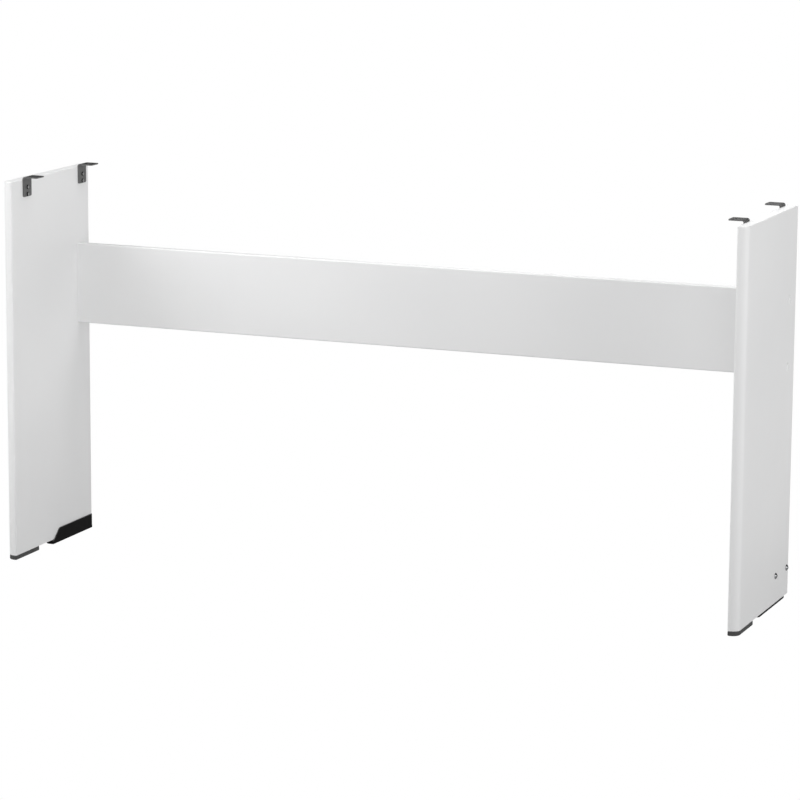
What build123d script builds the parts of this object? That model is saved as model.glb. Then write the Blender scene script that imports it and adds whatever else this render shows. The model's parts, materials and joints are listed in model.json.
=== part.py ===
from build123d import *
import os

# A knock-down stand for a slab digital piano: two white side panels joined by a
# low back panel, on four feet, with four steel brackets that carry the piano.
# +X is the player's right, -Y is the player's side, +Z is up.
# The origin is on the floor, in the middle of the stand's width and depth.
# All sizes are in millimetres. Sub-parts of one side are built for the right
# side (+X) and mirrored for the left.

# ---- Whole stand ----
STAND_WIDTH = 1300
STAND_DEPTH = 280
PANEL_TOP = 650
FOOT_HEIGHT = 8
CLEARANCE = 0.1  # on the diameter of a shank in its hole

# ---- Side panels: board, rear edge band and top edge band ----
SIDE_THICKNESS = 18
BAND_THICKNESS = 2
OUTER_FRONT_RADIUS = 13
INNER_FRONT_RADIUS = 3
BAND_RADIUS = 1.6
BAND_TOP_RADIUS = 1.2

# ---- Back panel ----
BACK_THICKNESS = 15
BACK_HEIGHT = 140
BACK_BOTTOM = 376.5
BACK_FRONT_SETBACK = 235  # from the front edge of the side panels
BACK_EDGE_RADIUS = 2.5

# ---- Joint between back panel and side panel ----
JOINT_BOLT_INSET = 15  # from the back panel's top or bottom edge
JOINT_BOLT_DIAMETER = 6
JOINT_BOLT_LENGTH = 50
JOINT_HEAD_DIAMETER = 11
JOINT_HEAD_HEIGHT = 3.2
COUNTERBORE_DIAMETER = 12.5
COUNTERBORE_DEPTH = 5.5
BARREL_DIAMETER = 10
BARREL_LENGTH = 12
BARREL_SETBACK = 32  # from the side panel's inner face
BARREL_HOLE_DEPTH = 13.5
BARREL_SLOT_WIDTH = 1.6
BARREL_SLOT_DEPTH = 1.5
CAP_DIAMETER = 14
CAP_HEIGHT = 1.8
CAP_EDGE = 0.6
CAP_STEM_LENGTH = 2
CAP_STEM_WALL = 1.5
DOWEL_DIAMETER = 8
DOWEL_LENGTH = 30
DOWEL_IN_SIDE = 11
DOWEL_CHAMFER = 1
DOWEL_HOLE_SPARE = 1
DOWEL_SPACING = 44

# ---- Piano brackets ----
BRACKET_WIDTH = 28
BRACKET_GAUGE = 2
BRACKET_TOP = 654.5
BRACKET_BOTTOM = 620
BRACKET_REACH = 27  # from the side panel's inner face
BRACKET_BEND_RADIUS = 4
BRACKET_CORNER_RADIUS = 3
BRACKET_SETBACKS = {"front": 54, "rear": 254}  # from the front edge to the bracket's middle
PIANO_HOLE_DIAMETER = 6.5
PIANO_HOLE_FROM_TIP = 11
BRACKET_SCREW_HEIGHTS = (624, 636)
BRACKET_HOLE_DIAMETER = 4.6
BRACKET_SCREW_DIAMETER = 4
BRACKET_SCREW_LENGTH = 16
BRACKET_HEAD_DIAMETER = 7.5
BRACKET_HEAD_HEIGHT = 2.5

# ---- Feet ----
REAR_FOOT_REAR_INSET = 2.5  # from the side panel's rear
FRONT_FOOT_LENGTH = 87
FRONT_FOOT_END_RADIUS = 7
FRONT_FOOT_TOP_ROUND = 2.5
FRONT_FOOT_BOTTOM_ROUND = 1.6
REAR_FOOT_CHAMFER = 0.8
REAR_FOOT_START = 131  # from the front edge of the side panels
REAR_FOOT_OUTER_INSET = 4
REAR_FOOT_WALL = 2
REAR_FOOT_WALL_SETBACK = 1.4  # from the base's front end
REAR_FOOT_WALL_ROOT = 3  # below the base's top
REAR_FOOT_WALL_TOP = 25
REAR_FOOT_SLANT = 25
REAR_FOOT_SLANT_RADIUS = 6
REAR_FOOT_CORNER_RADIUS = 6
REAR_FOOT_NOSE_RADIUS = 5  # on the base's top front edge
REAR_FOOT_EDGE_RADIUS = 1
FOOT_SCREW_DIAMETER = 4
FOOT_SCREW_LENGTH = 25
FOOT_SCREW_HEAD_DIAMETER = 7.5
FOOT_SCREW_HEAD_HEIGHT = 2.5
FOOT_SCREW_RECESS_DIAMETER = 8.5
FOOT_SCREW_RECESS_DEPTH = 4
FRONT_FOOT_SCREW_SETBACKS = (22, 66)
REAR_FOOT_SCREW_SETBACKS = (150, 260)

# ---- Accessory bolts low on the side panels' outer faces ----
ACCESSORY_BOLT_HEIGHT = 53
ACCESSORY_SETBACKS = {"front": 205, "rear": 269}
ACCESSORY_BOLT_DIAMETER = 6
ACCESSORY_BOLT_LENGTH = 12
ACCESSORY_HEAD_DIAMETER = 10.8
ACCESSORY_HEAD_HEIGHT = 3.3
INSERT_DIAMETER = 10
INSERT_LENGTH = 13
INSERT_HOLE_DEPTH = 14

# ---- Drives ----
HEX_SOCKET_SIZE = 4
HEX_SOCKET_DEPTH = 2
CROSS_WIDTH = 1
CROSS_SPAN = 4
CROSS_DEPTH = 1.3
SCREW_POINT_LENGTH = 5
SCREW_POINT_RADIUS = 0.4

# ---- Worked out ----
FRONT_Y = -STAND_DEPTH / 2
REAR_Y = STAND_DEPTH / 2
OUTER_X = STAND_WIDTH / 2
INNER_X = OUTER_X - SIDE_THICKNESS
SIDE_MIDDLE_X = OUTER_X - SIDE_THICKNESS / 2
BOARD_TOP = PANEL_TOP - BAND_THICKNESS
BOARD_REAR_Y = REAR_Y - BAND_THICKNESS
BACK_FRONT_Y = FRONT_Y + BACK_FRONT_SETBACK
BACK_MIDDLE_Y = BACK_FRONT_Y + BACK_THICKNESS / 2
BACK_REAR_Y = BACK_FRONT_Y + BACK_THICKNESS
BACK_MIDDLE_Z = BACK_BOTTOM + BACK_HEIGHT / 2
JOINT_BOLT_HEIGHTS = {
    "lower": BACK_BOTTOM + JOINT_BOLT_INSET,
    "upper": BACK_BOTTOM + BACK_HEIGHT - JOINT_BOLT_INSET,
}
DOWEL_HEIGHTS = (BACK_MIDDLE_Z - DOWEL_SPACING / 2, BACK_MIDDLE_Z + DOWEL_SPACING / 2)
JOINT_SEAT_X = OUTER_X - COUNTERBORE_DEPTH
BARREL_X = INNER_X - BARREL_SETBACK
JOINT_BOLT_TIP_X = JOINT_SEAT_X - JOINT_BOLT_LENGTH
REAR_FOOT_FRONT_Y = FRONT_Y + REAR_FOOT_START
REAR_FOOT_REAR_Y = REAR_Y - REAR_FOOT_REAR_INSET
REAR_FOOT_INNER_X = INNER_X - REAR_FOOT_WALL
REAR_FOOT_OUTER_X = OUTER_X - REAR_FOOT_OUTER_INSET
REAR_FOOT_MIDDLE_X = (REAR_FOOT_INNER_X + REAR_FOOT_OUTER_X) / 2
FRONT_FOOT_SCREW_PLACES = [(SIDE_MIDDLE_X, FRONT_Y + setback) for setback in FRONT_FOOT_SCREW_SETBACKS]
REAR_FOOT_SCREW_PLACES = [(REAR_FOOT_MIDDLE_X, FRONT_Y + setback) for setback in REAR_FOOT_SCREW_SETBACKS]
BRACKET_TIP_X = INNER_X - BRACKET_REACH
BRACKET_FACE_X = INNER_X - BRACKET_GAUGE

# Tools and fasteners are drawn along Z, head or mouth at the top, then laid over.
FACING_OUT = Rotation(0, 90, 0)  # top towards +X
FACING_IN = Rotation(0, -90, 0)  # top towards -X
FACING_DOWN = Rotation(180, 0, 0)


def bore(diameter, depth):
    """A cylinder from z = 0 downwards, for cutting a hole from a face."""
    return Pos(0, 0, -depth / 2) * Cylinder(diameter / 2, depth)


def plan_corner(outline, x, y):
    """The outline's corner nearest to a point of the floor plan."""
    return outline.vertices().sort_by_distance((x, y, 0))[0]


def side_plan(front_y, rear_y, inset=0, outer_radius=OUTER_FRONT_RADIUS, rear_radius=0):
    """Plan of a right side panel, or of something under it, with its rounded front corners."""
    inner_x = INNER_X + inset
    outer_x = OUTER_X - inset
    middle = Pos((inner_x + outer_x) / 2, (front_y + rear_y) / 2)
    outline = middle * Rectangle(outer_x - inner_x, rear_y - front_y)
    outline = fillet(plan_corner(outline, outer_x, front_y), outer_radius - inset)
    outline = fillet(plan_corner(outline, inner_x, front_y), INNER_FRONT_RADIUS - inset)
    if rear_radius:
        for corner_x in (outer_x, inner_x):
            outline = fillet(plan_corner(outline, corner_x, rear_y), rear_radius)
    return outline


def side_panel():
    """Board of a side panel, drilled for the back panel, brackets, feet and accessory bolts."""
    board = extrude(Pos(0, 0, FOOT_HEIGHT) * side_plan(FRONT_Y, BOARD_REAR_Y), BOARD_TOP - FOOT_HEIGHT)
    bolt_hole = bore(JOINT_BOLT_DIAMETER + CLEARANCE, SIDE_THICKNESS)
    counterbore = bore(COUNTERBORE_DIAMETER, COUNTERBORE_DEPTH)
    for height in JOINT_BOLT_HEIGHTS.values():
        board -= Pos(OUTER_X, BACK_MIDDLE_Y, height) * FACING_OUT * (bolt_hole + counterbore)
    dowel_hole = bore(DOWEL_DIAMETER + CLEARANCE, DOWEL_IN_SIDE + DOWEL_HOLE_SPARE)
    for height in DOWEL_HEIGHTS:
        board -= Pos(INNER_X, BACK_MIDDLE_Y, height) * FACING_IN * dowel_hole
    bracket_pilot = bore(BRACKET_SCREW_DIAMETER + CLEARANCE, BRACKET_SCREW_LENGTH)
    for setback in BRACKET_SETBACKS.values():
        for height in BRACKET_SCREW_HEIGHTS:
            board -= Pos(INNER_X, FRONT_Y + setback, height) * FACING_IN * bracket_pilot
    foot_pilot = bore(FOOT_SCREW_DIAMETER + CLEARANCE, FOOT_SCREW_LENGTH)
    for x, y in FRONT_FOOT_SCREW_PLACES + REAR_FOOT_SCREW_PLACES:
        board -= Pos(x, y, FOOT_HEIGHT) * FACING_DOWN * foot_pilot
    insert_hole = bore(INSERT_DIAMETER, INSERT_HOLE_DEPTH)
    for setback in ACCESSORY_SETBACKS.values():
        board -= Pos(OUTER_X, FRONT_Y + setback, ACCESSORY_BOLT_HEIGHT) * FACING_OUT * insert_hole
    return board


def rear_edge_band():
    """Plastic band glued along the board's rear edge, its outer corners eased."""
    height = BOARD_TOP - FOOT_HEIGHT
    middle = Pos(SIDE_MIDDLE_X, REAR_Y - BAND_THICKNESS / 2, FOOT_HEIGHT + height / 2)
    band = middle * Box(SIDE_THICKNESS, BAND_THICKNESS, height)
    outer_edges = band.edges().filter_by(Axis.Z).group_by(Axis.Y)[-1]
    return fillet(outer_edges, BAND_RADIUS)


def top_edge_band():
    """Plastic band glued over the board's top edge and the rear band's end."""
    outline = side_plan(FRONT_Y, REAR_Y, rear_radius=BAND_RADIUS)
    band = extrude(Pos(0, 0, BOARD_TOP) * outline, BAND_THICKNESS)
    return fillet(band.faces().sort_by(Axis.Z)[-1].edges(), BAND_TOP_RADIUS)


def back_panel():
    """Board across the back, drilled at both ends for bolts, barrel nuts and dowels."""
    middle = Pos(0, BACK_MIDDLE_Y, BACK_MIDDLE_Z)
    board = middle * Box(2 * INNER_X, BACK_THICKNESS, BACK_HEIGHT)
    board = fillet(board.edges().filter_by(Axis.X), BACK_EDGE_RADIUS)
    for cut in back_panel_drilling():
        board -= cut
        board -= mirror(cut, about=Plane.YZ)
    return board


def back_panel_drilling():
    """The holes at the back panel's right end, as solids to cut."""
    bolt_hole = bore(JOINT_BOLT_DIAMETER + CLEARANCE, INNER_X - JOINT_BOLT_TIP_X + 1)
    barrel_hole = bore(BARREL_DIAMETER + CLEARANCE, BARREL_HOLE_DEPTH)
    dowel_depth = DOWEL_LENGTH - DOWEL_IN_SIDE + DOWEL_HOLE_SPARE
    dowel_hole = bore(DOWEL_DIAMETER + CLEARANCE, dowel_depth)
    facing_rear = Rotation(-90, 0, 0)
    cuts = []
    for height in JOINT_BOLT_HEIGHTS.values():
        cuts.append(Pos(INNER_X, BACK_MIDDLE_Y, height) * FACING_OUT * bolt_hole)
        cuts.append(Pos(BARREL_X, BACK_REAR_Y, height) * facing_rear * barrel_hole)
    for height in DOWEL_HEIGHTS:
        cuts.append(Pos(INNER_X, BACK_MIDDLE_Y, height) * FACING_OUT * dowel_hole)
    return cuts


def hex_socket(top_z):
    """Hexagonal key socket, cut downwards from top_z."""
    hexagon = RegularPolygon(HEX_SOCKET_SIZE / 2, 6, major_radius=False)
    return extrude(Pos(0, 0, top_z - HEX_SOCKET_DEPTH) * hexagon, HEX_SOCKET_DEPTH)


def cross_recess(top_z):
    """Cross-shaped screwdriver recess, cut downwards from top_z."""
    level = Pos(0, 0, top_z - CROSS_DEPTH / 2)
    blade = Box(CROSS_SPAN, CROSS_WIDTH, CROSS_DEPTH)
    return level * (blade + Rotation(0, 0, 90) * blade)


def domed_section(base_radius, rim, top, below):
    """Solid of revolution under a spherical dome: below lists its outline from the axis to the base rim."""
    rise = top - rim
    dome_radius = (base_radius**2 + rise**2) / (2 * rise)
    outline = Polyline((0, top), *below, (base_radius, 0), (base_radius, rim))
    crown = RadiusArc((base_radius, rim), (0, top), -dome_radius)
    return revolve(make_face(Plane.XZ * (outline + crown)), Axis.Z)


def headed_shank(head_diameter, head_height, shank_outline):
    """Screw or bolt with a domed head on z = 0 and its shank below, drawn from its tip up."""
    return domed_section(head_diameter / 2, head_height / 4, head_height, shank_outline)


def wood_screw(head_diameter, head_height, shank_diameter, shank_length):
    """Pan-head wood screw with a cross recess and a point."""
    radius = shank_diameter / 2
    outline = [
        (0, -shank_length),
        (SCREW_POINT_RADIUS, -shank_length),
        (radius, -shank_length + SCREW_POINT_LENGTH),
        (radius, 0),
    ]
    return headed_shank(head_diameter, head_height, outline) - cross_recess(head_height)


def socket_bolt(head_diameter, head_height, shank_diameter, shank_length):
    """Button-head bolt with a hexagonal socket."""
    radius = shank_diameter / 2
    outline = [(0, -shank_length), (radius, -shank_length), (radius, 0)]
    return headed_shank(head_diameter, head_height, outline) - hex_socket(head_height)


def joint_bolt(height):
    """Bolt through the side panel into the back panel's barrel nut."""
    bolt = socket_bolt(JOINT_HEAD_DIAMETER, JOINT_HEAD_HEIGHT, JOINT_BOLT_DIAMETER, JOINT_BOLT_LENGTH)
    return Pos(JOINT_SEAT_X, BACK_MIDDLE_Y, height) * FACING_OUT * bolt


def barrel_nut(height):
    """Cross dowel in the back panel, slotted at its rear end to turn it into line with the bolt."""
    nut = Cylinder(BARREL_DIAMETER / 2, BARREL_LENGTH)
    nut -= Rotation(0, 90, 0) * Cylinder((JOINT_BOLT_DIAMETER + CLEARANCE) / 2, BARREL_DIAMETER)
    slot_z = BARREL_LENGTH / 2 - BARREL_SLOT_DEPTH / 2
    nut -= Pos(0, 0, slot_z) * Box(BARREL_DIAMETER, BARREL_SLOT_WIDTH, BARREL_SLOT_DEPTH)
    return Pos(BARREL_X, BACK_MIDDLE_Y, height) * Rotation(-90, 0, 0) * nut


def screw_cap(height):
    """White push-in cap that hides a joint bolt's counterbore."""
    cap = domed_section(CAP_DIAMETER / 2, CAP_EDGE, CAP_HEIGHT, [(0, 0)])
    stem_radius = (COUNTERBORE_DIAMETER - CLEARANCE) / 2
    stem = Cylinder(stem_radius, CAP_STEM_LENGTH) - Cylinder(stem_radius - CAP_STEM_WALL, CAP_STEM_LENGTH)
    cap += Pos(0, 0, -CAP_STEM_LENGTH / 2) * stem
    return Pos(OUTER_X, BACK_MIDDLE_Y, height) * FACING_OUT * cap


def dowels():
    """Two glued-in wooden dowels that key the back panel to the side panel."""
    dowel = Cylinder(DOWEL_DIAMETER / 2, DOWEL_LENGTH)
    dowel = chamfer(dowel.edges().filter_by(GeomType.CIRCLE), DOWEL_CHAMFER)
    middle_x = INNER_X + DOWEL_IN_SIDE - DOWEL_LENGTH / 2
    return [Pos(middle_x, BACK_MIDDLE_Y, height) * FACING_OUT * dowel for height in DOWEL_HEIGHTS]


def piano_bracket(setback):
    """Bent steel bracket: upright leg on the side panel's inner face, flat leg under the piano."""
    flat_leg_bottom = BRACKET_TOP - BRACKET_GAUGE
    section = Polyline(
        (INNER_X, BRACKET_BOTTOM),
        (INNER_X, BRACKET_TOP),
        (BRACKET_TIP_X, BRACKET_TOP),
        (BRACKET_TIP_X, flat_leg_bottom),
        (BRACKET_FACE_X, flat_leg_bottom),
        (BRACKET_FACE_X, BRACKET_BOTTOM),
        close=True,
    )
    face = make_face(Plane.XZ * section)
    outer_bend = face.vertices().sort_by_distance((INNER_X, 0, BRACKET_TOP))[0]
    face = fillet(outer_bend, BRACKET_BEND_RADIUS)
    inner_bend = face.vertices().sort_by_distance((BRACKET_FACE_X, 0, flat_leg_bottom))[0]
    face = fillet(inner_bend, BRACKET_BEND_RADIUS - BRACKET_GAUGE)
    bracket = extrude(face, BRACKET_WIDTH / 2, both=True)
    bottom_corners = bracket.edges().filter_by(Axis.X).group_by(Axis.Z)[0]
    bracket = fillet(bottom_corners, BRACKET_CORNER_RADIUS)
    tip_corners = bracket.edges().filter_by(Axis.Z).group_by(Axis.X)[0]
    bracket = fillet(tip_corners, BRACKET_CORNER_RADIUS)
    piano_hole = bore(PIANO_HOLE_DIAMETER, BRACKET_GAUGE)
    bracket -= Pos(BRACKET_TIP_X + PIANO_HOLE_FROM_TIP, 0, BRACKET_TOP) * piano_hole
    screw_hole = bore(BRACKET_HOLE_DIAMETER, BRACKET_GAUGE)
    for height in BRACKET_SCREW_HEIGHTS:
        bracket -= Pos(BRACKET_FACE_X, 0, height) * FACING_IN * screw_hole
    return Pos(0, FRONT_Y + setback, 0) * bracket


def bracket_screws(setback):
    """The two wood screws that hold one piano bracket."""
    screw = wood_screw(
        BRACKET_HEAD_DIAMETER, BRACKET_HEAD_HEIGHT, BRACKET_SCREW_DIAMETER, BRACKET_SCREW_LENGTH
    )
    return [
        Pos(BRACKET_FACE_X, FRONT_Y + setback, height) * FACING_IN * screw
        for height in BRACKET_SCREW_HEIGHTS
    ]


def foot_screw_holes(places):
    """Recessed screw holes up through a foot, as solids to cut."""
    recess = bore(FOOT_SCREW_RECESS_DIAMETER, FOOT_SCREW_RECESS_DEPTH)
    hole = bore(FOOT_SCREW_DIAMETER + CLEARANCE, FOOT_HEIGHT)
    return [Pos(x, y, 0) * FACING_DOWN * (recess + hole) for x, y in places]


def foot_screws(places):
    """The wood screws that hold one foot, driven up from its recesses."""
    screw = wood_screw(
        FOOT_SCREW_HEAD_DIAMETER, FOOT_SCREW_HEAD_HEIGHT, FOOT_SCREW_DIAMETER, FOOT_SCREW_LENGTH
    )
    return [Pos(x, y, FOOT_SCREW_RECESS_DEPTH) * FACING_DOWN * screw for x, y in places]


def front_foot():
    """Pillow-edged flat foot under the front third of a side panel, in plan like the panel's front."""
    rear_y = FRONT_Y + FRONT_FOOT_LENGTH
    outline = side_plan(FRONT_Y, rear_y, rear_radius=FRONT_FOOT_END_RADIUS)
    foot = extrude(outline, FOOT_HEIGHT)
    foot = fillet(foot.faces().sort_by(Axis.Z)[-1].edges(), FRONT_FOOT_TOP_ROUND)
    foot = fillet(foot.faces().sort_by(Axis.Z)[0].edges(), FRONT_FOOT_BOTTOM_ROUND)
    for hole in foot_screw_holes(FRONT_FOOT_SCREW_PLACES):
        foot -= hole
    return foot


def rear_foot():
    """L-section foot under the rear half: a base, and a low wall up the panel's inner face."""
    base_plan = Rectangle(REAR_FOOT_OUTER_X - REAR_FOOT_INNER_X, REAR_FOOT_REAR_Y - REAR_FOOT_FRONT_Y)
    base_plan = Pos(REAR_FOOT_MIDDLE_X, (REAR_FOOT_FRONT_Y + REAR_FOOT_REAR_Y) / 2) * base_plan
    for corner_y in (REAR_FOOT_FRONT_Y, REAR_FOOT_REAR_Y):
        base_plan = fillet(plan_corner(base_plan, REAR_FOOT_OUTER_X, corner_y), REAR_FOOT_CORNER_RADIUS)
    foot = extrude(base_plan, FOOT_HEIGHT)
    nose_edges = foot.faces().sort_by(Axis.Z)[-1].edges().sort_by(Axis.Y)[:2]
    foot = fillet(nose_edges, REAR_FOOT_NOSE_RADIUS)
    wall_side = Polyline(
        (REAR_FOOT_FRONT_Y + REAR_FOOT_WALL_SETBACK, FOOT_HEIGHT - REAR_FOOT_WALL_ROOT),
        (REAR_FOOT_FRONT_Y + REAR_FOOT_SLANT, REAR_FOOT_WALL_TOP),
        (REAR_FOOT_REAR_Y, REAR_FOOT_WALL_TOP),
        (REAR_FOOT_REAR_Y, FOOT_HEIGHT - REAR_FOOT_WALL_ROOT),
        close=True,
    )
    wall_face = make_face(Plane.YZ.offset(REAR_FOOT_INNER_X) * wall_side)
    slant_top = wall_face.vertices().sort_by_distance(
        (REAR_FOOT_INNER_X, REAR_FOOT_FRONT_Y + REAR_FOOT_SLANT, REAR_FOOT_WALL_TOP)
    )[0]
    wall_face = fillet(slant_top, REAR_FOOT_SLANT_RADIUS)
    wall = extrude(wall_face, REAR_FOOT_WALL, dir=(1, 0, 0))
    inner_face = wall.faces().filter_by(Plane.YZ).sort_by(Axis.X)[0]
    rim = inner_face.edges().filter_by_position(Axis.Z, FOOT_HEIGHT, REAR_FOOT_WALL_TOP)
    foot += fillet(rim, REAR_FOOT_EDGE_RADIUS)
    foot = chamfer(foot.faces().sort_by(Axis.Z)[0].edges(), REAR_FOOT_CHAMFER)
    for hole in foot_screw_holes(REAR_FOOT_SCREW_PLACES):
        foot -= hole
    return foot


def accessory_bolt(setback):
    """Domed chrome bolt in the side panel's outer face, parked for an accessory such as a pedal unit."""
    bolt = socket_bolt(
        ACCESSORY_HEAD_DIAMETER, ACCESSORY_HEAD_HEIGHT, ACCESSORY_BOLT_DIAMETER, ACCESSORY_BOLT_LENGTH
    )
    return Pos(OUTER_X, FRONT_Y + setback, ACCESSORY_BOLT_HEIGHT) * FACING_OUT * bolt


def accessory_insert(setback):
    """Threaded sleeve pressed into the side panel for an accessory bolt."""
    sleeve = bore(INSERT_DIAMETER, INSERT_LENGTH)
    sleeve -= bore(ACCESSORY_BOLT_DIAMETER + CLEARANCE, INSERT_LENGTH)
    return Pos(OUTER_X, FRONT_Y + setback, ACCESSORY_BOLT_HEIGHT) * FACING_OUT * sleeve


def right_side_pieces():
    """Every piece of the right side, by node name without its side."""
    pieces = {
        "side_panel": side_panel(),
        "rear_edge_band": rear_edge_band(),
        "top_edge_band": top_edge_band(),
        "front_foot": front_foot(),
        "front_foot_screws": foot_screws(FRONT_FOOT_SCREW_PLACES),
        "rear_foot": rear_foot(),
        "rear_foot_screws": foot_screws(REAR_FOOT_SCREW_PLACES),
        "back_panel_dowels": dowels(),
    }
    for place, setback in BRACKET_SETBACKS.items():
        pieces[f"piano_bracket_{place}"] = piano_bracket(setback)
        pieces[f"bracket_screws_{place}"] = bracket_screws(setback)
    for place, height in JOINT_BOLT_HEIGHTS.items():
        pieces[f"joint_bolt_{place}"] = joint_bolt(height)
        pieces[f"barrel_nut_{place}"] = barrel_nut(height)
        pieces[f"screw_cap_{place}"] = screw_cap(height)
    for place, setback in ACCESSORY_SETBACKS.items():
        pieces[f"accessory_bolt_{place}"] = accessory_bolt(setback)
        pieces[f"accessory_insert_{place}"] = accessory_insert(setback)
    return pieces


def solids_of(piece):
    """One shape's solids, or those of a list of shapes."""
    shapes = piece if isinstance(piece, list) else [piece]
    return [solid for shape in shapes for solid in shape.solids()]


def write_node(name, solids):
    """Write one node: a lone solid as it is, several as a compound."""
    shape = solids[0] if len(solids) == 1 else Compound(children=solids)
    export_step(shape, f"parts/{name}.step")


def main():
    os.makedirs("parts", exist_ok=True)
    write_node("back_panel", solids_of(back_panel()))
    for name, piece in right_side_pieces().items():
        solids = solids_of(piece)
        write_node(f"{name}_right", solids)
        write_node(f"{name}_left", [mirror(solid, about=Plane.YZ) for solid in solids])


main()
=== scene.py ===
import bpy
import json
import math
from mathutils import Matrix, Vector


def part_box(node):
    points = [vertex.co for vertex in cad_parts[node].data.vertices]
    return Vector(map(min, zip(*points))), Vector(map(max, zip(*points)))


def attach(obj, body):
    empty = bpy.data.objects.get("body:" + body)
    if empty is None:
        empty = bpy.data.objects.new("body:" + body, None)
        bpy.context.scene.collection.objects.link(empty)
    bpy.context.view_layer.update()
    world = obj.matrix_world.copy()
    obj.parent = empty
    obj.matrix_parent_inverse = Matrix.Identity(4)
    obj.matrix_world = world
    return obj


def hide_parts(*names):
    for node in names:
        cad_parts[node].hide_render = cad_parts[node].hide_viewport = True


# A white knock-down stand for a slab digital piano. Everything is in metres, in the
# model's own frame: +X is the player's right, -Y is the player's side, +Z is up.
# The boards, bands, brackets, barrel nuts, caps and feet are the CAD nodes with new materials.
# The screws, bolts, inserts and dowels are built here with their threads and flutes.

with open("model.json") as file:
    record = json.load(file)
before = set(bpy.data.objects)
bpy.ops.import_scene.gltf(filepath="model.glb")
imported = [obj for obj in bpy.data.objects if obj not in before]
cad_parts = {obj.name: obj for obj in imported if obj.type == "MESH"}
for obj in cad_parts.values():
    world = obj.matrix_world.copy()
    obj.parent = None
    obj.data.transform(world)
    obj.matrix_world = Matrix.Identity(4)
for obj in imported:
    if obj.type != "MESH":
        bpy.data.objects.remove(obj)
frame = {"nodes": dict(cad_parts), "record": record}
NODES = frame["nodes"]
SLOT_OF = {part["node"]: part["material_slot"] for part in frame["record"]["subparts"]}
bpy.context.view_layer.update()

SIDES = ("left", "right")
PLACES = ("front", "rear")
LEVELS = ("lower", "upper")
MM = 0.001


def grey(value):
    """A neutral linear colour."""
    return (value, value, value, 1.0)


# ---- Node graphs ----
class Surface:
    """A Principled material, with short calls that add texture nodes to it."""

    def __init__(self, name, **sockets):
        self.material = bpy.data.materials.new(name)
        self.material.use_nodes = True
        self.tree = self.material.node_tree
        self.shader = self.tree.nodes["Principled BSDF"]
        self.paint(**sockets)
        self.position = self.add("ShaderNodeTexCoord").outputs["Object"]

    def add(self, kind, **settings):
        node = self.tree.nodes.new(kind)
        for name, value in settings.items():
            setattr(node, name, value)
        return node

    def feed(self, socket, source):
        """Link the source to the socket, or set the socket where the source is a plain value."""
        if isinstance(source, bpy.types.NodeSocket):
            self.tree.links.new(source, socket)
        else:
            socket.default_value = source

    def paint(self, **sources):
        """Feed the shader's own sockets. Underscores stand for spaces."""
        for socket, source in sources.items():
            self.feed(self.shader.inputs[socket.replace("_", " ")], source)

    def math(self, operation, first, second=0.0):
        node = self.add("ShaderNodeMath", operation=operation)
        self.feed(node.inputs[0], first)
        self.feed(node.inputs[1], second)
        return node.outputs["Value"]

    def noise(self, grain, detail=2.0, stretch=(1, 1, 1)):
        """Noise from 0 to 1 with features about one grain across, longer where stretch is above 1."""
        mapping = self.add("ShaderNodeMapping")
        self.feed(mapping.inputs["Vector"], self.position)
        mapping.inputs["Scale"].default_value = [1 / s for s in stretch]
        texture = self.add("ShaderNodeTexNoise")
        self.feed(texture.inputs["Vector"], mapping.outputs["Vector"])
        texture.inputs["Scale"].default_value = 1 / grain
        texture.inputs["Detail"].default_value = detail
        return texture.outputs["Fac"]

    def level(self, value, low, high, start=0.3, end=0.7):
        """A number that runs from low to high while value runs from start to end."""
        node = self.add("ShaderNodeMapRange")
        self.feed(node.inputs["Value"], value)
        node.inputs["From Min"].default_value = start
        node.inputs["From Max"].default_value = end
        node.inputs["To Min"].default_value = low
        node.inputs["To Max"].default_value = high
        return node.outputs["Result"]

    def mix(self, share, first, second):
        """The first colour where share is 0, the second where it is 1."""
        node = self.add("ShaderNodeMix", data_type="RGBA")
        self.feed(node.inputs[0], share)
        self.feed(node.inputs[6], first)
        self.feed(node.inputs[7], second)
        return node.outputs[2]

    def bump(self, height, distance, below=None):
        """A normal with relief: height from 0 to 1 stands for distance, in metres."""
        node = self.add("ShaderNodeBump")
        node.inputs["Distance"].default_value = distance
        self.feed(node.inputs["Height"], height)
        if below is not None:
            self.feed(node.inputs["Normal"], below)
        return node.outputs["Normal"]

    def edges(self, radius):
        """1 along edges sharper than the radius, 0 on the flats."""
        rounded = self.add("ShaderNodeBevel")
        rounded.inputs["Radius"].default_value = radius
        flat = self.add("ShaderNodeNewGeometry").outputs["Normal"]
        dot = self.add("ShaderNodeVectorMath", operation="DOT_PRODUCT")
        self.feed(dot.inputs[0], rounded.outputs["Normal"])
        self.feed(dot.inputs[1], flat)
        return self.level(dot.outputs["Value"], 1, 0, start=0.80, end=0.98)

    def upward(self, start, end):
        """1 where the surface faces up: start and end are heights of the normal."""
        normal = self.add("ShaderNodeNewGeometry").outputs["Normal"]
        axes = self.add("ShaderNodeSeparateXYZ")
        self.feed(axes.inputs["Vector"], normal)
        return self.level(axes.outputs["Z"], 0, 1, start=start, end=end)

    def inside(self, low, high):
        """1 within a box that is mirrored at x = 0, 0 outside it."""
        axes = self.add("ShaderNodeSeparateXYZ")
        self.feed(axes.inputs["Vector"], self.position)
        places = [self.math("ABSOLUTE", axes.outputs["X"]), axes.outputs["Y"], axes.outputs["Z"]]
        shares = [
            self.math("MULTIPLY", self.math("GREATER_THAN", p, a), self.math("LESS_THAN", p, b))
            for p, a, b in zip(places, low, high)
        ]
        return self.math("MULTIPLY", self.math("MULTIPLY", shares[0], shares[1]), shares[2])


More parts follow.
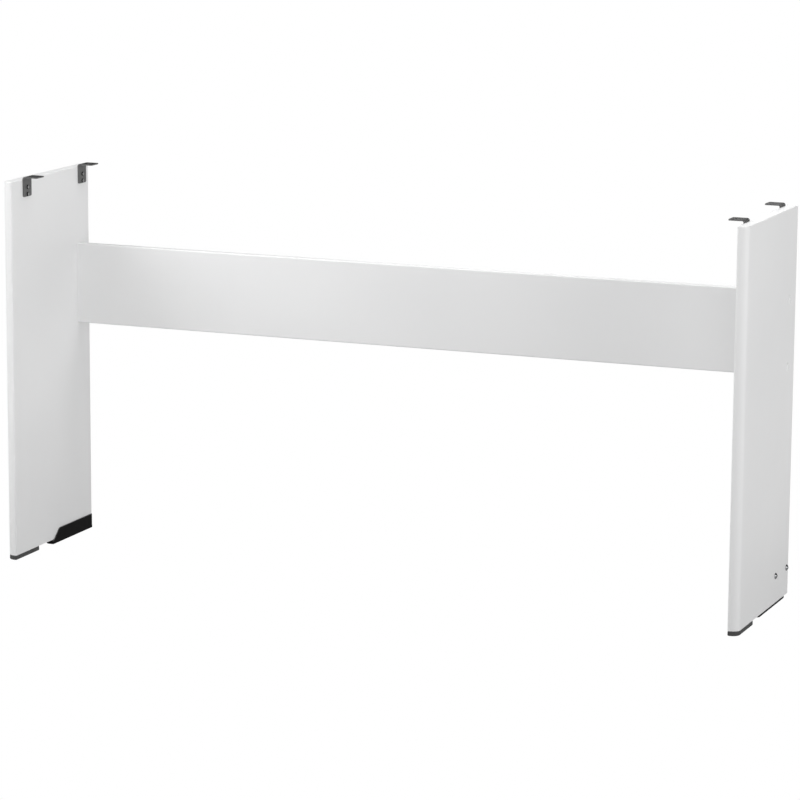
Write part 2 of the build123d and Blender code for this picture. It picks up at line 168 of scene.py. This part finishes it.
# ---- Materials: noise grains, reliefs and edge radii are in real sizes ----
FOIL_GRAIN = 1.1 * MM
FOIL_RELIEF = 0.035 * MM
FOIL_THICKNESS = 0.8 * MM
FOIL_CLOUDS = 0.30
CHIP_SIZE = 2.2 * MM
CHIP_RELIEF = 0.4 * MM
SIDE_FRONT_ROUND = 13 * MM  # of the side panels' outer front edge
BAND_LINE = 0.8 * MM
BAND_LINE_STRETCH = 40


def white_foil(name, core_low, core_high):
    """Satin white foil with a faint pebble, over chipboard that shows in the drilled holes."""
    s = Surface(name)
    clouds = s.level(s.noise(FOIL_CLOUDS), 0, 1)
    foil = s.mix(clouds, (0.755, 0.757, 0.76, 1), (0.785, 0.786, 0.787, 1))
    chips = s.level(s.noise(CHIP_SIZE, detail=4, stretch=(1, 1, 2.5)), 0, 1, start=0.35, end=0.65)
    core = s.mix(chips, (0.27, 0.17, 0.09, 1), (0.56, 0.42, 0.26, 1))
    raw = s.inside(core_low, core_high)
    satin = s.level(s.noise(0.04, detail=3), 0.40, 0.47)
    pebble = s.bump(s.noise(FOIL_GRAIN, detail=3), FOIL_RELIEF)
    s.paint(
        Base_Color=s.mix(raw, foil, core),
        Roughness=s.math("MAXIMUM", satin, s.math("MULTIPLY", raw, 0.9)),
        Normal=s.bump(s.math("MULTIPLY", raw, chips), CHIP_RELIEF, below=pebble),
    )
    return s.material


def edge_band(name, along):
    """White plastic band with the fine lines that its trimming leaves, long where along is above 1."""
    s = Surface(name)
    lines = s.noise(BAND_LINE, detail=2, stretch=along)
    tone = s.level(s.noise(0.12), 0, 1)
    s.paint(
        Base_Color=s.mix(tone, (0.775, 0.777, 0.78, 1), (0.805, 0.806, 0.807, 1)),
        Roughness=s.level(lines, 0.30, 0.40),
        Normal=s.bump(lines, 0.015 * MM),
    )
    return s.material


def moulded_white():
    """Semi-gloss white plastic of the screw caps."""
    s = Surface("moulded_white")
    flow = s.noise(6 * MM, detail=3)
    s.paint(
        Base_Color=s.mix(s.level(flow, 0, 1), (0.77, 0.772, 0.775, 1), (0.80, 0.80, 0.80, 1)),
        Roughness=s.level(s.noise(1.5 * MM, detail=2), 0.24, 0.32),
        Normal=s.bump(flow, 0.02 * MM),
    )
    return s.material


def coated_steel():
    """Grey powder coat with a fine orange peel and paler edges; faces that turn upwards are a much darker
    grey, as painted shade.
    """
    s = Surface("coated_steel", Specular_IOR_Level=0.2)
    peel = s.noise(0.7 * MM, detail=2)
    mottle = s.level(s.noise(9 * MM, detail=3), 0, 1)
    tone = s.mix(mottle, grey(0.110), grey(0.145))
    # Painted shade: the darker grey that faces turning upwards take.
    painted_shade_top = s.mix(mottle, grey(0.022), grey(0.034))
    coat = s.mix(s.upward(0.3, 0.9), tone, painted_shade_top)
    s.paint(
        Base_Color=s.mix(s.level(s.edges(0.5 * MM), 0, 0.30, start=0, end=1), coat, grey(0.22)),
        Roughness=s.level(s.noise(4 * MM, detail=3), 0.45, 0.60),
        Normal=s.bump(peel, 0.04 * MM),
    )
    return s.material


def black_oxide():
    """Blackened screw steel, rubbed brighter on its edges."""
    s = Surface("black_oxide", Specular_IOR_Level=0.15)
    tone = s.mix(s.level(s.noise(1.2 * MM, detail=3), 0, 1), grey(0.006), grey(0.014))
    s.paint(
        Base_Color=s.mix(s.level(s.edges(0.2 * MM), 0, 0.35, start=0, end=1), tone, grey(0.10)),
        Roughness=s.level(s.noise(0.6 * MM, detail=2), 0.34, 0.48),
    )
    return s.material


def painted_highlight_recess():
    """Lighter grey steel, scraped along one way, on a black screw's middle and recess: a painted
    highlight.
    """
    s = Surface("painted_highlight_recess", Metallic=0.3)
    scrape = s.noise(0.5 * MM, detail=3, stretch=(3, 1, 1))
    s.paint(
        Base_Color=s.mix(s.level(scrape, 0, 1), grey(0.20), grey(0.42)),
        Roughness=s.level(scrape, 0.35, 0.5),
    )
    return s.material


def rubber():
    """Dark grey rubber with a fine grain and random patches of pale dust, and paler where the surface
    turns upwards as a painted highlight.
    """
    s = Surface("foot_rubber", Specular_IOR_Level=0.35)
    grain = s.noise(0.5 * MM, detail=3)
    dust = s.level(s.noise(11 * MM, detail=4), 0, 0.35, start=0.5, end=0.75)
    tone = s.mix(s.level(grain, 0, 1), grey(0.044), grey(0.064))
    # Random pale dust, and a painted highlight on faces that turn upwards.
    dust_and_painted_highlight = s.math("MAXIMUM", dust, s.upward(0.15, 0.95))
    s.paint(
        Base_Color=s.mix(dust_and_painted_highlight, tone, grey(0.125)),
        Roughness=s.level(grain, 0.62, 0.78),
        Normal=s.bump(grain, 0.06 * MM),
    )
    return s.material


def black_moulding():
    """Black plastic with a fine spark-eroded texture, paler along its edges from wear and a painted
    highlight, and paler on upward faces as a painted highlight.
    """
    s = Surface("black_moulding", Specular_IOR_Level=0.05)
    texture = s.noise(0.45 * MM, detail=2)
    tone = s.mix(s.level(s.noise(14 * MM, detail=3), 0, 1), grey(0.0025), grey(0.0050))
    # Paler edges, here and in rubbed below: partly wear, partly a painted highlight.
    edge_wear_and_highlight = s.edges(0.6 * MM)
    rubbed = s.mix(s.level(edge_wear_and_highlight, 0, 0.5, start=0, end=1), tone, grey(0.022))
    s.paint(
        # Painted highlight: faces that turn upwards take a pale grey.
        Base_Color=s.mix(s.upward(0.35, 1.0), rubbed, grey(0.13)),
        Roughness=s.math("SUBTRACT", s.level(texture, 0.46, 0.60), s.math("MULTIPLY", edge_wear_and_highlight, 0.12)),
        Normal=s.bump(texture, 0.03 * MM),
    )
    return s.material


def chrome():
    """Polished dark nickel plating with hairline scratches."""
    s = Surface("chrome", Metallic=1.0)
    hairs = s.noise(0.3 * MM, detail=2, stretch=(1, 14, 1))
    tone = s.level(s.noise(3 * MM), 0, 1)
    s.paint(
        Base_Color=s.mix(tone, (0.26, 0.265, 0.275, 1), (0.32, 0.325, 0.33, 1)),
        Roughness=s.level(hairs, 0.05, 0.12),
        Normal=s.bump(hairs, 0.002 * MM),
    )
    return s.material


def zinc():
    """Bright zinc plate with a faint blue and yellow bloom."""
    s = Surface("zinc", Metallic=1.0)
    bloom = s.level(s.noise(5 * MM, detail=3), 0, 1)
    drawn = s.noise(0.4 * MM, detail=2, stretch=(8, 1, 1))
    s.paint(
        Base_Color=s.mix(bloom, (0.56, 0.59, 0.64, 1), (0.68, 0.66, 0.58, 1)),
        Roughness=s.level(drawn, 0.26, 0.42),
        Normal=s.bump(drawn, 0.01 * MM),
    )
    return s.material


def beech():
    """Bare beech with its grain along the dowel and short dark rays."""
    s = Surface("beech")
    grain = s.noise(0.7 * MM, detail=4, stretch=(18, 1, 1))
    rays = s.level(s.noise(0.9 * MM, detail=1, stretch=(3.5, 1, 1)), 0, 0.6, start=0.60, end=0.72)
    wood = s.mix(s.level(grain, 0, 1), (0.50, 0.31, 0.17, 1), (0.68, 0.47, 0.29, 1))
    s.paint(
        Base_Color=s.mix(rays, wood, (0.30, 0.16, 0.08, 1)),
        Roughness=s.level(grain, 0.55, 0.70),
        Normal=s.bump(grain, 0.05 * MM),
    )
    return s.material


def board_core(node, front_round):
    """The box of a board's core: its node's box less the foil, and less its rounded front edge."""
    low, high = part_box(node)
    skin = Vector((FOIL_THICKNESS,) * 3)
    return low + skin + Vector((0, front_round, 0)), high - skin


def dress(node, material):
    """Give a CAD node its material."""
    NODES[node].material_slots[0].material = material


def dress_nodes():
    """Give every CAD node that stays in view its material."""
    side_foil = white_foil("side_foil", *board_core("side_panel_right", SIDE_FRONT_ROUND))
    back_low, back_high = board_core("back_panel", 0)
    back_low.x = -1  # any distance below 0, because the panel runs through the mirror plane
    dress("back_panel", white_foil("back_foil", back_low, back_high))
    rear_band = edge_band("rear_band", (1, 1, BAND_LINE_STRETCH))
    top_band = edge_band("top_band", (1, BAND_LINE_STRETCH, 1))
    by_slot = {
        "white_cap": moulded_white(),
        "bracket_steel": coated_steel(),
        "grey_foot": rubber(),
        "black_foot": black_moulding(),
        "zinc_steel": ZINC,
    }
    for node in NODES:
        if SLOT_OF[node] in by_slot:
            dress(node, by_slot[SLOT_OF[node]])
    for side in SIDES:
        dress(f"side_panel_{side}", side_foil)
        dress(f"rear_edge_band_{side}", rear_band)
        dress(f"top_edge_band_{side}", top_band)


ZINC = zinc()
CHROME = chrome()
BLACK = black_oxide()
PAINTED_HIGHLIGHT_RECESS = painted_highlight_recess()
BEECH = beech()

# ---- Turned pieces: rings of points round the Z axis, from the tip up to the head's middle ----
TURN = 2 * math.pi
THREAD_ROOT = 0.6  # what a flat root cuts off the V of a thread, as a share of the thread's depth
STEPS_PER_TURN = 8
POINT_SHARE = 0.12  # radius of a screw's point, as a share of its full one
DOME_STEPS = 7
SMOOTH_BELOW = math.radians(40)


def circle(radius):
    return lambda angle: radius


def hexagon(across_flats):
    """Polar outline of a hexagon."""
    sixth = TURN / 6
    return lambda angle: across_flats / 2 / math.cos((angle + sixth / 2) % sixth - sixth / 2)


def cross(arm_length, arm_width):
    """Polar outline of a cross with four arms; arm_length is its whole span."""
    quarter = TURN / 4
    half_length, half_width = arm_length / 2, arm_width / 2

    def outline(angle):
        off = abs((angle + quarter / 2) % quarter - quarter / 2)
        if math.tan(off) * half_length <= half_width:
            return half_length / math.cos(off)
        return half_width / math.sin(off)

    return outline


def cross_angles(arm_length, arm_width, steps_between):
    """Angles that hold every corner of a cross, with even steps between them."""
    tip = math.atan2(arm_width, arm_length)
    marks = sorted((q * TURN / 4 + o) % TURN for q in range(4) for o in (-tip, 0, tip, TURN / 8))
    marks.append(marks[0] + TURN)
    shares = [i / steps_between for i in range(steps_between)]
    return [a + (b - a) * share for a, b in zip(marks, marks[1:]) for share in shares]


def even_angles(count):
    return [TURN * i / count for i in range(count)]


def helix(core, crest, pitch, level, taper):
    """Ring of a single-start thread at a height: a triangular crest over a flat root."""

    def outline(angle):
        phase = (level / pitch - angle / TURN) % 1.0
        rise = 1 - abs(2 * phase - 1)
        return (core + (crest - core) * max(0.0, (1 + THREAD_ROOT) * rise - THREAD_ROOT)) * taper

    return outline


def threaded(core, crest, pitch, start, end, point=0.0):
    """Rings of a threaded length from start up to end, drawn to a point over its first stretch."""
    count = max(2, round((end - start) / pitch * STEPS_PER_TURN))
    rings = []
    for i in range(count + 1):
        level = start + (end - start) * i / count
        taper = min(1.0, POINT_SHARE + (1 - POINT_SHARE) * (level - start) / point) if point else 1.0
        rings.append((level, helix(core, crest, pitch, level, taper)))
    return rings


def dome(radius, rim, top, steps=DOME_STEPS):
    """Rings of a shallow dome, from its rim up to near the axis: (level, radius) pairs."""
    rise = top - rim
    ball = (radius**2 + rise**2) / (2 * rise)
    full = math.asin(min(1.0, radius / ball))
    slopes = [full * (1 - i / steps) for i in range(steps)]
    return [(top - ball + ball * math.cos(slope), ball * math.sin(slope)) for slope in slopes]


class Turning:
    """Mesh data of one or more turned solids that make one piece."""

    def __init__(self):
        self.points = []
        self.faces = []
        self.slots = []

    def add(self, rings, angles, place, closed=False, recess_from=None):
        """Skin the rings. An open run is capped at both ends, a closed one joined end to end.

        Faces from the run of rings numbered recess_from onwards take the second material.
        """
        first = len(self.points)
        count = len(angles)
        for level, outline in rings:
            for angle in angles:
                radius = outline(angle)
                spot = Vector((radius * math.cos(angle), radius * math.sin(angle), level))
                self.points.append(place @ spot)
        runs = len(rings) if closed else len(rings) - 1
        for r in range(runs):
            low = first + r * count
            high = first + (r + 1) % len(rings) * count
            for i in range(count):
                j = (i + 1) % count
                self.faces.append((low + i, low + j, high + j, high + i))
                self.slots.append(int(recess_from is not None and r >= recess_from))
        if not closed:
            self.cap(first, count, place @ Vector((0, 0, rings[0][0])), False, 0)
            last = first + (len(rings) - 1) * count
            last_slot = int(recess_from is not None)
            self.cap(last, count, place @ Vector((0, 0, rings[-1][0])), True, last_slot)

    def cap(self, first, count, middle, upwards, slot):
        centre = len(self.points)
        self.points.append(middle)
        for i in range(count):
            a, b = first + i, first + (i + 1) % count
            self.faces.append((a, b, centre) if upwards else (b, a, centre))
            self.slots.append(slot)

    def piece(self, name, node, materials):
        """Make the object that stands for a CAD node."""
        mesh = bpy.data.meshes.new(name)
        mesh.from_pydata(self.points, [], self.faces)
        for material in materials:
            mesh.materials.append(material)
        mesh.polygons.foreach_set("material_index", self.slots)
        mesh.polygons.foreach_set("use_smooth", [True] * len(self.faces))
        mesh.set_sharp_from_angle(angle=SMOOTH_BELOW)
        made = bpy.data.objects.new(name, mesh)
        bpy.context.scene.collection.objects.link(made)
        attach(made, "root")
        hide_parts(node)


def facing(place, direction):
    """Matrix that lays +Z along a direction with the origin at a place."""
    turn = Vector(direction).to_track_quat("Z", "Y").to_matrix().to_4x4()
    return Matrix.Translation(place) @ turn


# ---- Fasteners, placed by their CAD nodes' boxes ----
WOOD_HEAD_HEIGHT = 2.5 * MM
WOOD_SHANK_RADIUS = 2.0 * MM
WOOD_CORE_RADIUS = 1.35 * MM
WOOD_PITCH = 1.8 * MM
WOOD_POINT = 5 * MM
WOOD_NECK = 2 * MM  # plain shank under the head
CROSS_SPAN = 3.6 * MM
CROSS_WIDTH = 1.0 * MM
CROSS_DEPTH = 1.5 * MM
CROSS_MOUTH_DROP = 0.15 * MM  # of the recess's mouth below the head's top
CROSS_STEPS = [(0, 1, 1), (0.6, 0.72, 0.9), (1, 0.40, 0.6)]  # shares of depth, span and width
SOCKET_SIZE = 4 * MM
SOCKET_DEPTH = 2 * MM
SOCKET_LIP = 0.1 * MM
SOCKET_FLOOR = (0.4 * MM, 0.5 * MM)  # drop and radius of its drilled middle
BOLT_RADIUS = 3 * MM
BOLT_CORE_RADIUS = 2.5 * MM
BOLT_PITCH = 1 * MM
BOLT_NECK = 1.5 * MM
BOLT_RUNOUT = 0.3 * MM
BOLT_TIP_SHARE = 0.8  # the tip's radius, as a share of the core's
BOLT_TIP_LENGTH = 0.5 * MM
BOLT_THREAD_START = 0.6 * MM  # from the tip
BOLT_SIDES = 48
BOLT_DOME_STEPS = 12
RIM_SHARE = 0.12  # a head's straight rim, as a share of its height
EASE = 0.2 * MM


def wood_screw_rings(length, head_radius):
    """Rings of a pan-head wood screw seated at z = 0, and the number of the recess's first run."""
    neck = -WOOD_NECK
    rings = threaded(WOOD_CORE_RADIUS, WOOD_SHANK_RADIUS, WOOD_PITCH, -length, neck, point=WOOD_POINT)
    rings += [(neck / 2, circle(WOOD_SHANK_RADIUS)), (0, circle(WOOD_SHANK_RADIUS))]
    rings += [(0, circle(head_radius - EASE)), (EASE, circle(head_radius))]
    rim = WOOD_HEAD_HEIGHT * RIM_SHARE
    for level, radius in dome(head_radius, rim, WOOD_HEAD_HEIGHT):
        if radius > CROSS_SPAN / 2 + EASE:
            rings.append((level, circle(radius)))
    mouth = WOOD_HEAD_HEIGHT - CROSS_MOUTH_DROP
    recess_from = len(rings) - 1
    for depth, span, width in CROSS_STEPS:
        rings.append((mouth - depth * CROSS_DEPTH, cross(span * CROSS_SPAN, width * CROSS_WIDTH)))
    return rings, recess_from


def socket_bolt_rings(length, head_radius, head_height):
    """Button-head bolt with a hexagonal socket, seated at z = 0."""
    neck = -BOLT_NECK
    rings = [(-length, circle(BOLT_CORE_RADIUS * BOLT_TIP_SHARE))]
    rings += [(-length + BOLT_TIP_LENGTH, circle(BOLT_CORE_RADIUS))]
    rings += threaded(BOLT_CORE_RADIUS, BOLT_RADIUS, BOLT_PITCH, -length + BOLT_THREAD_START, neck)
    rings += [(neck + BOLT_RUNOUT, circle(BOLT_RADIUS)), (0, circle(BOLT_RADIUS))]
    rings += [(0, circle(head_radius - EASE)), (EASE, circle(head_radius))]
    corner = SOCKET_SIZE / 2 / math.cos(TURN / 12)
    for level, radius in dome(head_radius, head_height * RIM_SHARE, head_height, BOLT_DOME_STEPS):
        if radius > corner + EASE:
            rings.append((level, circle(radius)))
    mouth = rings[-1][0]
    floor_drop, floor_radius = SOCKET_FLOOR
    rings.append((mouth + SOCKET_LIP, circle(corner + EASE)))
    rings.append((mouth, hexagon(SOCKET_SIZE)))
    rings.append((mouth - SOCKET_DEPTH, hexagon(SOCKET_SIZE)))
    rings.append((mouth - SOCKET_DEPTH - floor_drop, circle(floor_radius)))
    return rings


def wood_screws(node, length, outwards, materials):
    """Two wood screws of a length that stand for a node, with their heads towards outwards."""
    low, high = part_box(node)
    middle = (low + high) / 2
    size = high - low
    out = Vector(outwards)
    along = max(range(3), key=lambda axis: abs(out[axis]))
    across = [axis for axis in range(3) if axis != along]
    row = max(across, key=lambda axis: size[axis])
    head_radius = min(size[axis] for axis in across) / 2
    tip = low[along] if out[along] > 0 else high[along]
    rings, recess_from = wood_screw_rings(length, head_radius)
    angles = cross_angles(CROSS_SPAN, CROSS_WIDTH, 2)
    turning = Turning()
    for spot in (low[row] + head_radius, high[row] - head_radius):
        seat = middle.copy()
        seat[along] = tip + out[along] * length
        seat[row] = spot
        turning.add(rings, angles, facing(seat, out), recess_from=recess_from)
    turning.piece(f"threaded_{node}", node, materials)


def socket_bolt(node, side_sign, length, head_height, material):
    """One button-head bolt of a length that stands for a node, its head towards the stand's outside."""
    low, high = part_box(node)
    middle = (low + high) / 2
    tip = low.x if side_sign > 0 else high.x
    seat = Vector((tip + side_sign * length, middle.y, middle.z))
    rings = socket_bolt_rings(length, (high.z - low.z) / 2, head_height)
    turning = Turning()
    turning.add(rings, even_angles(BOLT_SIDES), facing(seat, (side_sign, 0, 0)))
    turning.piece(f"threaded_{node}", node, [material])


INSERT_BORE = 3.05 * MM  # radius to the inner thread's crests
INSERT_MOUTH = 3.45 * MM  # radius of the bore's mouths
INSERT_THREAD_DEPTH = 0.3 * MM
INSERT_RIB = 0.8 * MM
INSERT_PITCH = 2.5 * MM
INSERT_COLLAR = 1 * MM
INSERT_COLLAR_STEP = 0.1 * MM
INSERT_SIDES = 36


def threaded_insert(node, side_sign):
    """Pressed-in sleeve: coarse ribs outside, a machine thread inside."""
    low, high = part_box(node)
    middle = (low + high) / 2
    outside = high.x if side_sign > 0 else low.x
    radius = (high.z - low.z) / 2
    length = high.x - low.x
    start, end = INSERT_COLLAR - length, -INSERT_COLLAR
    outer = threaded(radius - INSERT_RIB, radius, INSERT_PITCH, start, end)
    inner = threaded(INSERT_BORE, INSERT_BORE + INSERT_THREAD_DEPTH, BOLT_PITCH, start, end)
    rings = [(-length, circle(INSERT_MOUTH)), (-length, circle(radius - INSERT_RIB))]
    rings += outer
    rings += [(end + INSERT_COLLAR_STEP, circle(radius)), (0, circle(radius)), (0, circle(INSERT_MOUTH))]
    rings += reversed(inner)
    place = facing((outside, middle.y, middle.z), (side_sign, 0, 0))
    turning = Turning()
    turning.add(rings, even_angles(INSERT_SIDES), place, closed=True)
    turning.piece(f"threaded_{node}", node, [ZINC])


FLUTES = 18
FLUTE_DEPTH = 0.25 * MM
STEPS_PER_FLUTE = 8
DOWEL_CHAMFER = 1 * MM


def flutes(radius):
    """Polar outline of a fluted dowel: narrow grooves between wide lands."""
    return lambda angle: radius - FLUTE_DEPTH * (0.5 - 0.5 * math.cos(FLUTES * angle)) ** 3


def fluted_dowels(node):
    """The two glued dowels that stand for a node, fluted along their length."""
    low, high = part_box(node)
    middle = (low + high) / 2
    radius = (high.y - low.y) / 2
    half = (high.x - low.x) / 2
    ends = [(half - DOWEL_CHAMFER, flutes(radius)), (half, flutes(radius - DOWEL_CHAMFER))]
    rings = [(-level, outline) for level, outline in reversed(ends)] + ends
    angles = even_angles(FLUTES * STEPS_PER_FLUTE)
    turning = Turning()
    for height in (low.z + radius, high.z - radius):
        turning.add(rings, angles, facing((middle.x, middle.y, height), (1, 0, 0)))
    turning.piece(f"fluted_{node}", node, [BEECH])


BRACKET_SCREW_LENGTH = 16 * MM
FOOT_SCREW_LENGTH = 25 * MM
JOINT_BOLT_LENGTH = 50 * MM
JOINT_HEAD_HEIGHT = 3.2 * MM
ACCESSORY_BOLT_LENGTH = 12 * MM
ACCESSORY_HEAD_HEIGHT = 3.3 * MM


def fasteners():
    """Every screw, bolt, insert and dowel, each in place of its CAD node."""
    for side, sign in zip(SIDES, (-1, 1)):
        for place in PLACES:
            bracket_screws = f"bracket_screws_{place}_{side}"
            # The second material paints a highlight on the screw heads' middles and recesses.
            wood_screws(bracket_screws, BRACKET_SCREW_LENGTH, (-sign, 0, 0), [BLACK, PAINTED_HIGHLIGHT_RECESS])
            wood_screws(f"{place}_foot_screws_{side}", FOOT_SCREW_LENGTH, (0, 0, -1), [ZINC, ZINC])
            accessory = f"accessory_bolt_{place}_{side}"
            socket_bolt(accessory, sign, ACCESSORY_BOLT_LENGTH, ACCESSORY_HEAD_HEIGHT, CHROME)
            threaded_insert(f"accessory_insert_{place}_{side}", sign)
        for level in LEVELS:
            socket_bolt(f"joint_bolt_{level}_{side}", sign, JOINT_BOLT_LENGTH, JOINT_HEAD_HEIGHT, ZINC)
        fluted_dowels(f"back_panel_dowels_{side}")


# ---- Studio: a glowing white table in a dim room, under soft lights ----
FLOOR_SIZE = 80
# The patch under the stand glows less than the table round it: a painted shadow of the stand.
SHADE_WIDTH, SHADE_DEPTH = 1.9, 0.9
TABLE_DROP = 0.5 * MM  # of the table below its shaded part
TABLE_GLOW = 0.72
PAINTED_SHADOW_GLOW = 0.56
ROOM_GLOW = 0.10
STAND_MIDDLE = (0, 0, 0.4)


def white_to_camera(tree, strength, glow):
    """White where the camera sees it, a given glow where it lights the object."""
    ray = tree.nodes.new("ShaderNodeLightPath")
    share = tree.nodes.new("ShaderNodeMapRange")
    share.inputs["To Min"].default_value = glow
    share.inputs["To Max"].default_value = 1.0
    tree.links.new(ray.outputs["Is Camera Ray"], share.inputs["Value"])
    tree.links.new(share.outputs["Result"], strength)


def lit_sheet(name, width, depth, height, glow):
    """A flat piece of the table that glows like a light table."""
    material = bpy.data.materials.new(name)
    material.use_nodes = True
    tree = material.node_tree
    tree.nodes.clear()
    emission = tree.nodes.new("ShaderNodeEmission")
    output = tree.nodes.new("ShaderNodeOutputMaterial")
    white_to_camera(tree, emission.inputs["Strength"], glow)
    tree.links.new(emission.outputs["Emission"], output.inputs["Surface"])
    x, y = width / 2, depth / 2
    corners = [(-x, -y, height), (x, -y, height), (x, y, height), (-x, y, height)]
    mesh = bpy.data.meshes.new(name)
    mesh.from_pydata(corners, [], [(0, 1, 2, 3)])
    mesh.materials.append(material)
    sheet = bpy.data.objects.new(name, mesh)
    bpy.context.scene.collection.objects.link(sheet)


def floor():
    """The table, and a dimmer patch of it under the stand: a painted shadow in the light that the table
    gives the object.
    """
    lit_sheet("table", FLOOR_SIZE, FLOOR_SIZE, -TABLE_DROP, TABLE_GLOW)
    lit_sheet("painted_shadow_table", SHADE_WIDTH, SHADE_DEPTH, 0, PAINTED_SHADOW_GLOW)


def softbox(name, place, target, size, power, spread=180):
    """A rectangular soft light that the camera doesn't see, gridded to a spread in degrees."""
    light = bpy.data.lights.new(name, "AREA")
    light.shape = "RECTANGLE"
    light.size, light.size_y = size
    light.energy = power
    light.spread = math.radians(spread)
    lamp = bpy.data.objects.new(name, light)
    aim = (Vector(target) - Vector(place)).to_track_quat("-Z", "Y")
    lamp.matrix_world = Matrix.Translation(place) @ aim.to_matrix().to_4x4()
    lamp.visible_camera = False
    bpy.context.scene.collection.objects.link(lamp)


def room():
    """White walls to the camera, dim ones to the object."""
    world = bpy.data.worlds.new("room")
    world.use_nodes = True
    walls = world.node_tree.nodes["Background"]
    walls.inputs["Color"].default_value = grey(1.0)
    white_to_camera(world.node_tree, walls.inputs["Strength"], ROOM_GLOW)
    bpy.context.scene.world = world


def studio():
    """Floor, room and lights. The narrow left end light lifts only the back panel's left end."""
    floor()
    room()
    softbox("left_softbox", (-2.2, -1.2, 2.2), STAND_MIDDLE, (1.6, 1.4), 50)
    softbox("right_softbox", (3.0, -1.0, 0.9), STAND_MIDDLE, (1.6, 1.4), 26)
    softbox("right_strip", (3.6, 0.5, 0.4), STAND_MIDDLE, (1.0, 0.6), 9)
    softbox("near_softbox", (-0.1, -1.8, 1.6), (0, 0.1, 0.45), (1.0, 0.6), 3)
    softbox("front_left_softbox", (-2.2, -4.0, 0.8), STAND_MIDDLE, (1.4, 1.2), 14)
    softbox("front_right_softbox", (2.2, -4.0, 0.8), STAND_MIDDLE, (1.4, 1.2), 28)
    softbox("left_end_softbox", (0.2, -2.4, 0.9), (-0.75, 0.1, 0.42), (0.5, 0.5), 0.32, spread=35)
    softbox("top_softbox", (0, 0, 1.7), (0, 0, 0), (2.0, 0.8), 14.5)
    softbox("rear_softbox", (0, 2.6, 1.2), STAND_MIDDLE, (2.4, 1.0), 14)
    bpy.context.scene.view_settings.view_transform = "Standard"


# ---- Camera: from the front, to the player's right and above ----
CAMERA_PLACE = (2.150, -5.2256, 1.3821)
CAMERA_HEADING = 0.3876
CAMERA_PITCH = 0.1885
CAMERA_ROLL = 0.0067
CAMERA_LENS = 155.8
SENSOR_WIDTH = 36


def camera():
    data = bpy.data.cameras.new("camera")
    data.sensor_width = SENSOR_WIDTH
    data.lens = CAMERA_LENS
    data.clip_end = 2 * FLOOR_SIZE
    eye = bpy.data.objects.new("camera", data)
    turn = Matrix.Rotation(CAMERA_HEADING, 4, "Z")
    tilt = Matrix.Rotation(math.pi / 2 - CAMERA_PITCH, 4, "X")
    roll = Matrix.Rotation(CAMERA_ROLL, 4, "Z")
    eye.matrix_world = Matrix.Translation(CAMERA_PLACE) @ turn @ tilt @ roll
    bpy.context.scene.collection.objects.link(eye)
    bpy.context.scene.camera = eye


dress_nodes()
fasteners()
studio()
camera()
